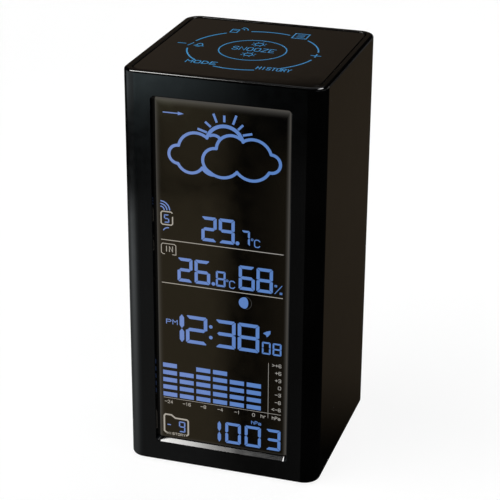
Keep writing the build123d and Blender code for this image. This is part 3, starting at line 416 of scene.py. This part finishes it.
def segment(name, w, h, t, g):
    """Outline of one segment of a figure w by h, stroke t, gap g."""
    c = 0.42 * t                    # cut outer corner
    m = h / 2
    k = 0.71 * g                    # the gap along a mitred end
    outer = m + 0.3 * t             # where the outer side of b ends
    top = [(c, h), (w - c, h), (w - c / 2 - k, h - c / 2), (w - t - k, h - t), (t + k, h - t),
           (c / 2 + k, h - c / 2)]
    right = [(w, h - c), (w, outer), (w - t / 2, m + k / 2), (w - t, m + t / 2 + k / 2),
             (w - t, h - t - k), (w - c / 2, h - c / 2 - k)]
    middle = [(t / 2 + k, m), (t + k / 2, m + t / 2), (w - t - k / 2, m + t / 2),
              (w - t / 2 - k, m), (w - t - k / 2, m - t / 2), (t + k / 2, m - t / 2)]
    shapes = {
        "a": top,
        "b": right,
        "c": [(u, h - v) for u, v in right][::-1],
        "d": [(u, h - v) for u, v in top][::-1],
        "e": [(w - u, h - v) for u, v in right],
        "f": [(w - u, v) for u, v in right][::-1],
        "g": middle,
    }
    return shapes[name]


def arc_through(a, b, c):
    """Points of the circular arc from a through b to c."""
    steps = 18
    ax, ay, bx, by, cx, cy = *a, *b, *c
    d = 2 * (ax * (by - cy) + bx * (cy - ay) + cx * (ay - by))
    ux = ((ax * ax + ay * ay) * (by - cy) + (bx * bx + by * by) * (cy - ay)
          + (cx * cx + cy * cy) * (ay - by)) / d
    uy = ((ax * ax + ay * ay) * (cx - bx) + (bx * bx + by * by) * (ax - cx)
          + (cx * cx + cy * cy) * (bx - ax)) / d
    radius = math.hypot(ax - ux, ay - uy)
    start = math.atan2(ay - uy, ax - ux)
    through = (math.atan2(by - uy, bx - ux) - start) % (2 * math.pi)
    end = (math.atan2(cy - uy, cx - ux) - start) % (2 * math.pi)
    if through > end:
        end -= 2 * math.pi
    return [(ux + radius * math.cos(start + end * i / steps),
             uy + radius * math.sin(start + end * i / steps)) for i in range(steps + 1)]


LENS_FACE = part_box("display_lens")[0].y
PLATE_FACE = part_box("touch_plate")[1].z
COVER_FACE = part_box("rear_cover")[1].y


def on_lens(u, v, h):
    return Vector((u * MM, LENS_FACE - h * MM, v * MM))


def on_plate(u, v, h):
    return Vector((u * MM, v * MM, PLATE_FACE + h * MM))


def on_cover(u, v, h):
    return Vector((-u * MM, COVER_FACE + h * MM, v * MM))


# ---------------------------------------------------------------- display

figures = Marks(on_lens)
# figures of temperature, humidity, time, pressure, history and channel
for figure, left, low, width, height, stroke in (
        ("2", -8.8, 106.6, 6.6, 10.9, 1.38), ("9", -1.3, 106.6, 6.8, 10.9, 1.38),
        ("7", 8.4, 106.8, 3.6, 6.7, 0.85),
        ("2", -19.4, 86.9, 6.6, 10.8, 1.38), ("6", -11.9, 86.9, 6.8, 10.8, 1.38),
        ("8", -2.6, 86.9, 4.2, 7.0, 0.85),
        ("6", 7.3, 86.9, 6.9, 10.9, 1.38), ("8", 14.95, 86.9, 7.0, 10.9, 1.38),
        ("2", -15.95, 58.75, 9.5, 12.95, 1.55), ("3", -2.9, 58.75, 8.9, 12.95, 1.55),
        ("8", 6.95, 58.75, 9.4, 12.95, 1.55),
        ("0", 17.55, 58.75, 3.8, 5.7, 0.72), ("8", 22.2, 58.75, 3.85, 5.7, 0.72),
        ("0", 1.5, 13.35, 7.0, 10.1, 1.3), ("0", 10.25, 13.35, 7.2, 10.1, 1.3),
        ("3", 19.65, 13.35, 6.5, 10.1, 1.3),
        ("9", -19.6, 14.95, 2.9, 5.2, 0.55), ("5", -25.05, 112.55, 2.3, 3.7, 0.5)):
    figures.digit(figure, left, low, width, height, stroke)
# narrow figures 1, of two segments with pointed ends
TIP = 1.3
for left, low, height, width in ((-18.75, 58.75, 12.95, 2.0), (-1.95, 13.35, 10.1, 1.5)):
    centre, middle = left + width / 2, low + height / 2
    for start, end in ((low, middle - 0.1), (middle + 0.1, low + height)):
        figures.polygon([(centre, start), (left + width, start + TIP), (left + width, end - TIP),
                         (centre, end), (left, end - TIP), (left, start + TIP)])
for u, v, radius in ((6.7, 107.45, 0.85), (-3.7, 87.8, 0.8),      # decimal points
                     (-4.9, 67.8, 0.8), (-4.9, 62.8, 0.8)):       # colon
    figures.disc((u, v), radius)
for left, low in ((13.8, 106.55), (3.15, 86.75)):     # degrees C
    figures.text("C", left, low, left + 2.6, low + 3.6, 0.42)
    figures.arc((left - 0.85, low + 3.3), 0.42, 0, 360, 0.24, 12)
figures.text("%", 22.7, 87.0, 26.0, 91.1, 0.32)
figures.text("PM", -24.8, 66.4, -19.6, 68.7, 0.36)
figures.text("hPa", 13.1, 24.5, 17.5, 26.2, 0.26)
figures.line([(-24.9, 17.8), (-23.3, 17.8)], 0.42, round_ends=False)
for radius in (1.5, 2.7, 3.9):                        # radio waves
    figures.arc((-26.4, 118.1), radius, 4, 88, 0.5)
figures.line(arc_through((-25.3, 109.2), (-24.4, 110.1), (-23.1, 110.4)), 0.45)
figures.line([(-24.7, 160.45), (-18.4, 160.5)], 0.45)   # trend arrow
figures.polygon([(-18.5, 159.75), (-15.9, 160.55), (-18.5, 161.25)])
BLOCK_WIDTH, BLOCK_HEIGHT = 6.3, 2.0                  # pressure history
COLUMN_STEP, ROW_STEP = 7.5, 3.49
for column, tall in enumerate((5, 4, 5, 5, 4, 4)):
    left = -26.5 + COLUMN_STEP * column
    for row in range(tall):
        low = 31.75 + ROW_STEP * row
        figures.polygon([(left, low), (left + BLOCK_WIDTH, low),
                         (left + BLOCK_WIDTH, low + BLOCK_HEIGHT), (left, low + BLOCK_HEIGHT)])
moon = (9.95, 81.05)
limb = [(moon[0] + 2.6 * math.cos(math.radians(a)), moon[1] + 2.6 * math.sin(math.radians(a)))
        for a in range(90, 271, 12)]
shade = [(moon[0] + 1.5 * math.cos(math.radians(a)), moon[1] + 2.6 * math.sin(math.radians(a)))
         for a in range(-78, 80, 12)]
figures.polygon(limb + shade)
bell = [(18.0, 68.35), (19.4, 69.3), (21.2, 69.9), (21.15, 68.5), (20.2, 67.2), (19.6, 66.8),
        (19.3, 67.6)]
figures.polygon(bell)
# weather: the sun's rays and disc, behind two clouds
for a, b in (((-10.2, 155.0), (-6.2, 153.8)), ((-7.0, 158.25), (-4.6, 156.3)),
             ((-3.5, 162.0), (-2.1, 158.4)), ((1.06, 161.7), (1.06, 158.9)),
             ((6.1, 162.2), (4.7, 158.3)), ((8.9, 158.5), (6.8, 156.3)),
             ((12.7, 155.2), (8.8, 154.2))):
    figures.line([a, b], 0.95, round_ends=False)
sun = (1.33, 149.3)
figures.arc(sun, 7.9, 146, 164, 1.35)
figures.arc(sun, 7.9, 37, 143, 1.5)
figures.arc(sun, 7.9, 16, 33, 1.35)
for a, b, c in (
        ((-6.7, 151.8), (-12.0, 153.0), (-18.3, 147.0)),
        ((-18.3, 147.0), (-22.4, 142.3), (-18.6, 139.2)),
        ((-18.6, 139.2), (-13.4, 135.75), (-8.3, 138.5)),
        ((-8.3, 138.5), (-6.5, 136.7), (-3.4, 135.9)),
        ((-4.9, 152.6), (-3.0, 152.95), (-0.6, 151.6)),
        ((-2.3, 147.4), (1.9, 153.2), (8.2, 152.3)),
        ((-2.3, 147.4), (-8.0, 142.9), (-5.0, 137.0)),
        ((-5.0, 137.0), (0.9, 135.3), (6.4, 138.3)),
        ((6.4, 138.3), (13.2, 135.4), (19.9, 139.7)),
        ((19.9, 139.7), (24.5, 143.2), (20.6, 147.4)),
        ((20.6, 147.4), (16.2, 152.3), (9.4, 151.9))):
    figures.through(a, b, c, 1.25)
figures.build("display_figures", BLUE_INK, "root")

legend = Marks(on_lens)
for v in (104.9, 85.4):                               # rules between the fields
    legend.line([(-26.4, v), (26.3, v)], 0.3, round_ends=False)
legend.line([(-26.4, 31.0), (26.2, 31.0)], 0.15, round_ends=False)
legend.line([(20.5, 54.9), (20.5, 28.7)], 0.15, round_ends=False)
# scales of the pressure history
for words, v in ((">+6", 54.1), ("+6", 50.6), ("+3", 47.1), ("0", 43.7), ("-3", 40.3),
                 ("-6", 36.7), ("<-6", 33.2)):
    legend.text(words, 26.1 - 1.35 * len(words), v - 0.85, 26.1, v + 0.85, 0.22)
for words, u in (("-24", -24.1), ("-16", -15.9), ("-8", -8.4), ("-4", -0.8), ("-1", 6.8),
                 ("0", 14.1), ("hr", 18.5), ("hPa", 24.1)):
    half = 0.62 * len(words)
    legend.text(words, u - half, 28.3, u + half, 29.9, 0.22)
legend.line([(-21.3, 115.3), (-21.3, 112.3), (-21.9, 111.7), (-25.7, 111.7), (-26.3, 112.3),
             (-26.3, 116.9), (-25.7, 117.5), (-22.0, 117.5), (-21.5, 117.1)], 0.5)
legend.line([(-21.5, 98.5), (-20.0, 98.5), (-20.0, 102.6), (-20.6, 103.2), (-25.8, 103.2),
             (-26.4, 102.6), (-26.4, 99.1), (-25.7, 98.5), (-25.0, 98.5)], 0.3)
legend.text("IN", -25.0, 99.6, -21.3, 102.2, 0.34)
legend.line([(-25.6, 13.9), (-26.3, 14.5), (-26.3, 21.9), (-25.7, 22.7), (-23.0, 22.7),
             (-21.2, 21.4), (-16.0, 21.4), (-15.35, 20.8), (-15.35, 14.3), (-16.1, 13.6)], 0.7)
legend.text("HISTORY", -25.2, 12.95, -16.6, 14.2, 0.2)
legend.build("display_legend", PALE_INK, "root")

crescent = Marks(on_lens)
crescent.arc(moon, 2.95, -75, 75, 0.18)
crescent.build("display_moon_edge", FAINT_INK, "root")

# ---------------------------------------------------------------- touch plate

touch = Marks(on_plate)
for turn in range(6):
    touch.arc((0, 0), 27.2, 60 * turn + 12, 60 * turn + 48, 0.62)
touch.arc((0, 0), 14.1, 0, 360, 0.48)
touch.text("SNOOZE", -9.1, -1.3, 9.4, 3.5, 0.38)
touch.text("MODE", -21.3, -24.2, -8.2, -20.4, 0.44)
touch.text("HISTORY", 8.6, -24.3, 23.0, -20.5, 0.4)
for centre in ((0.15, 8.7), (0.05, -6.2)):            # brightness suns
    touch.arc(centre, 1.75, 0, 360, 0.42)
    for ray in range(8):
        turn = math.radians(45 * ray + 22.5)
        way = Vector((math.cos(turn), math.sin(turn)))
        touch.line([Vector(centre) + way * 2.45, Vector(centre) + way * 3.2], 0.38,
                   round_ends=False)
touch.line([(24.7, 0.6), (29.1, 0.6)], 0.5, round_ends=False)
touch.line([(26.9, -1.6), (26.9, 2.8)], 0.5, round_ends=False)
touch.line([(-33.1, 0.7), (-29.3, 0.7)], 0.42, round_ends=False)
touch.line([(-27.8, -1.7), (-26.6, 2.8)], 0.34, round_ends=False)
touch.line([(-25.2, -1.0), (-24.4, 0.0), (-24.3, 1.4), (-23.6, 2.5), (-22.9, 2.5), (-22.2, 1.4),
            (-22.1, 0.0), (-21.3, -1.0)], 0.38, closed=True)
touch.line([(-23.8, -1.9), (-22.7, -1.9)], 0.4)
# radio sensor
touch.line([(-17.2, 22.4), (-14.2, 22.4), (-14.2, 27.0), (-17.2, 27.0)], 0.4, closed=True)
touch.line([(-16.4, 25.6), (-15.0, 25.6)], 0.36)
for radius in (2.0, 3.6):
    touch.arc((-14.2, 27.0), radius, 5, 80, 0.42)
# record card
touch.line([(10.3, 22.3), (16.5, 22.3), (16.5, 29.2), (10.3, 29.2)], 0.48, closed=True)
for v in (24.2, 25.8, 27.4):
    touch.line([(11.7, v), (15.1, v)], 0.34, round_ends=False)
touch.build("touch_marks", RING_INK, "root")

# ---------------------------------------------------------------- rear marks

rear = Marks(on_cover)
for words, left, right in (("SEARCH", 10.3, 17.7), ("RESET", -3.1, 3.1),
                           ("*C", -19.0, -16.6), ("*F", -11.4, -9.0)):
    rear.text(words, left, 118.3, right, 120.1, 0.22)
rear.text("DC", -18.3, 28.6, -15.7, 30.4, 0.22)
rear.build("rear_marks", PRINT_INK, "root")


# ---------------------------------------------------------------- studio

def stage_mesh(name, vertices, faces, material):
    mesh = bpy.data.meshes.new(name)
    mesh.from_pydata(vertices, [], faces)
    made = bpy.data.objects.new(name, mesh)
    bpy.context.scene.collection.objects.link(made)
    mesh.materials.append(material)
    made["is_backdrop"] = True
    return made


def glow(name, colour, strength, soft, slope, least):
    """Light for a sheet with a UV from -1 to 1. It fades at the edges over soft = (left, right,
    low, high), down to the share least. Its strength changes along U and V by the factors
    slope = (left, right, low, high), if there are any."""
    mat, tree = new_material(name)
    out = node(tree, "OutputMaterial")
    light = node(tree, "Emission", {"Color": (*colour, 1.0)})
    tree.links.new(light.outputs[0], out.inputs[0])
    factors = []
    split = node(tree, "SeparateXYZ", {"Vector": node(tree, "TexCoord").outputs["UV"]})
    for axis, (near, far) in zip("XY", (soft[:2], soft[2:])):
        if near:
            factors.append(ranged(tree, split.outputs[axis], -1.0, -1.0 + near, 0.0, 1.0))
        if far:
            factors.append(ranged(tree, split.outputs[axis], 1.0 - far, 1.0, 1.0, 0.0))
    for axis, (near, far) in zip("XY", (slope[:2], slope[2:]) if slope else ()):
        factors.append(ranged(tree, split.outputs[axis], -1.0, 1.0, near, far, soft=False))
    total = factors[0]
    for factor in factors[1:]:
        total = node(tree, "Math", {0: total, 1: factor}, operation="MULTIPLY").outputs[0]
    scaled = ranged(tree, total, 0.0, 1.0, least * strength, strength, soft=False)
    tree.links.new(scaled, light.inputs["Strength"])
    mat.cycles.emission_sampling = "NONE"
    return mat


CENTRE = Vector((0, 0, 0.09))       # of the object
FAR = 10.0                          # to the upright reflectors
CEILING_HEIGHT = 1.6


def around(azimuth):
    """A level direction: azimuth 0 is -Y (in front), positive to the viewer's left."""
    turn = math.radians(azimuth)
    return Vector((-math.sin(turn), -math.cos(turn), 0.0))


def sheet(name, columns, material, seen_by):
    """A sheet through columns of (low, high) points, seen by one kind of ray. Its UV runs from
    -1 to 1 along the columns and from low to high."""
    vertices = [point for column in columns for point in column]
    count = len(columns) - 1
    faces = [(2 * i, 2 * i + 2, 2 * i + 3, 2 * i + 1) for i in range(count)]
    made = stage_mesh(name, vertices, faces, material)
    layer = made.data.uv_layers.new(name="place")
    for loop in made.data.loops:
        column, row = divmod(loop.vertex_index, 2)
        layer.data[loop.index].uv = (2.0 * column / count - 1.0, 2.0 * row - 1.0)
    for kind in ("camera", "diffuse", "glossy", "transmission", "volume_scatter", "shadow"):
        setattr(made, "visible_" + kind, kind == seen_by)


def card(name, azimuths, elevations, colour, strength, soft, slope=None, least=0.0):
    """A soft upright reflector, bent round the object between two azimuths (left edge first)
    and two elevations."""
    columns = []
    steps = max(1, round(abs(azimuths[1] - azimuths[0]) / 6))
    for i in range(steps + 1):
        way = around(azimuths[0] + (azimuths[1] - azimuths[0]) * i / steps) * FAR
        columns.append([CENTRE + way + Vector((0, 0, math.tan(math.radians(e)) * FAR))
                        for e in elevations])
    sheet(name, columns, glow(name, colour, strength, soft, slope, least), "glossy")


def ceiling(name, xs, ys, colour, strength, soft, slope=None):
    """A soft level reflector above the object between two X and two Y places."""
    columns = [[Vector((x, y, CEILING_HEIGHT)) for y in ys] for x in xs]
    sheet(name, columns, glow(name, colour, strength, soft, slope, 0.0), "glossy")


def area(name, toward, away, size, power):
    """A round lamp that reflections don't show."""
    data = bpy.data.lights.new(name, "AREA")
    data.shape = "DISK"
    data.size = size
    data.energy = power
    made = bpy.data.objects.new(name, data)
    bpy.context.scene.collection.objects.link(made)
    way = Vector(toward).normalized()
    made.matrix_world = (Matrix.Translation(CENTRE + way * away)
                         @ way.to_track_quat("Z", "Y").to_matrix().to_4x4())
    made.visible_glossy = False
    made.visible_camera = False


# a pale floor, and a backdrop of the same paint that only the camera sees
mat, tree = new_material("floor")
out = node(tree, "OutputMaterial")
shader = node(tree, "BsdfPrincipled", {"Roughness": 0.9, "Specular IOR Level": 0.1,
                                       "Emission Strength": 0.86})
tree.links.new(shader.outputs[0], out.inputs[0])
coords = node(tree, "TexCoord").outputs["Object"]
shade_of = ranged(tree, noise(tree, coords, 3.0, 3.0), 0.3, 0.7, 0.0, 1.0)
tree.links.new(blend_colour(tree, shade_of, grey(0.15), grey(0.17)), shader.inputs["Base Color"])
shader.inputs["Emission Color"].default_value = (1, 1, 1, 1)
FLOOR_R = 9.0


def on_rim(i, sides, z):
    """Corner i of a level regular polygon of FLOOR_R."""
    turn = 2 * math.pi * i / sides
    return Vector((FLOOR_R * math.cos(turn), FLOOR_R * math.sin(turn), z))


floor = stage_mesh("floor", [on_rim(i, 64, 0.0) for i in range(64)], [tuple(range(64))], mat)
floor.visible_glossy = False
sheet("backdrop", [[on_rim(i, 32, z) for z in (0.0, FLOOR_R)] for i in range(33)], mat, "camera")

# the dark room that the gloss reflects where no card stands
world = bpy.data.worlds.new("studio")
bpy.context.scene.world = world
world.use_nodes = True
world.node_tree.nodes["Background"].inputs["Color"].default_value = (0.0035, 0.0035, 0.0038, 1)
world.cycles.sampling_method = "NONE"

# light on the floor and the body
area("key", (-0.5, -0.35, 0.9), 1.6, 1.6, 22.0)
area("fill", (0.8, -0.6, 0.7), 1.8, 1.6, 10.0)
area("rear", (0.3, 0.9, 0.8), 1.8, 1.6, 14.0)

# overhead: a box on the left, the dim ceiling beside it and a box on the right
ceiling("overhead", (-1.65, -0.425), (-0.5, 0.1), (1.0, 0.99, 0.97), 25.0,
        (0.1, 0.22, 0.2, 0.2))
ceiling("ceiling_right", (-0.425, 0.6), (-0.35, 0.05), (0.95, 0.97, 1.0), 0.7,
        (0.0, 0.5, 0.3, 0.3), (1.0, 0.3, 1.0, 1.0))
ceiling("corner_box", (0.6, 1.5), (-0.3, 0.7), (1.0, 1.0, 1.0), 16.0, (0.2, 0.2, 0.2, 0.2))
# walls in front and to the left
card("front_left", (27.0, 17.9), (-34.0, -20.9), (0.98, 1.0, 1.0), 0.172,
     (0.0, 0.08, 0.0, 0.10))
card("front_low", (17.9, 6.0), (-34.0, -19.0), (1.0, 1.0, 1.0), 0.085, (0.55, 1.1, 0.0, 0.2))
card("front_left_mid", (21.1, 17.9), (-20.9, -17.85), (0.98, 1.0, 1.0), 0.15, (0.3, 0.2, 0, 0))
card("front_left_high", (37.0, 16.6), (-17.85, 8.0), (0.74, 0.94, 1.0), 1.15,
     (0.0, 0.50, 0.02, 0.3))
card("left", (112.0, 27.0), (-32.0, -21.4), (0.92, 0.98, 1.0), 1.03, (1.05, 0.90, 0.0, 0.12),
     (1.0, 1.0, 0.05, 1.35), least=0.19)
card("left_far", (150.0, 112.0), (-32.0, -21.4), (0.92, 0.98, 1.0), 0.14, (0.5, 0.0, 0.0, 0.12))
card("left_high", (105.0, 37.0), (-18.2, 8.0), (0.85, 0.96, 1.0), 0.70, (0.3, 0.0, 0.02, 0.3))
# brown walls behind: one for the right side, one for the top
card("right_wall", (180.0 + 9.0, 180.0 + 27.0), (-31.0, -13.0), (1.0, 0.77, 0.52), 0.063,
     (0.2, 0.2, 0.45, 0.2), (1.0, 1.0, 0.68, 1.25))
card("back_wall", (180.0 - 9.0, 180.0 - 32.0), (9.0, 18.55), (1.0, 0.78, 0.58), 0.068,
     (0.2, 0.2, 0.2, 0.06), (0.62, 1.36, 1.0, 1.0))
# soft boxes to the right and behind, for views from there
card("right_box", (-35.0, -75.0), (-8.0, 12.0), (0.9, 0.95, 1.0), 0.5, (0.3, 0.3, 0.3, 0.3))
card("side_right_box", (-62.0, -118.0), (-15.5, 8.0), (0.92, 0.96, 1.0), 0.42,
     (0.9, 0.6, 0.5, 0.5))
card("rear_box", (160.0, 204.0), (-15.5, 6.0), (0.96, 0.97, 1.0), 0.38, (0.9, 0.6, 0.5, 0.5))
card("rear_right_box", (-118.0, -158.0), (-8.0, 12.0), (1.0, 0.95, 0.9), 0.5,
     (0.3, 0.3, 0.3, 0.3))
card("rear_left_box", (158.0, 176.0), (28.0, 50.0), (0.95, 0.97, 1.0), 0.7,
     (0.3, 0.3, 0.3, 0.3))

# ---------------------------------------------------------------- camera

camera = bpy.data.objects.new("camera", bpy.data.cameras.new("camera"))
bpy.context.scene.collection.objects.link(camera)
camera.data.sensor_width = 36.0
camera.data.lens = 121.819
camera.data.clip_start = 0.01
camera.data.clip_end = 50.0
# placed to match the photo's view of the object
CAMERA_PLACE = Vector((0.20004, -0.64332, 0.38036))
CAMERA_AIM = Vector((-0.00054, -0.00017, 0.08676))
CAMERA_ROLL = math.radians(0.3714)
camera.matrix_world = (Matrix.Translation(CAMERA_PLACE)
                       @ (CAMERA_PLACE - CAMERA_AIM).to_track_quat("Z", "Y").to_matrix().to_4x4()
                       @ Matrix.Rotation(CAMERA_ROLL, 4, "Z"))
bpy.context.scene.camera = camera
bpy.context.scene.view_settings.view_transform = "Standard"

low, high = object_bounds()
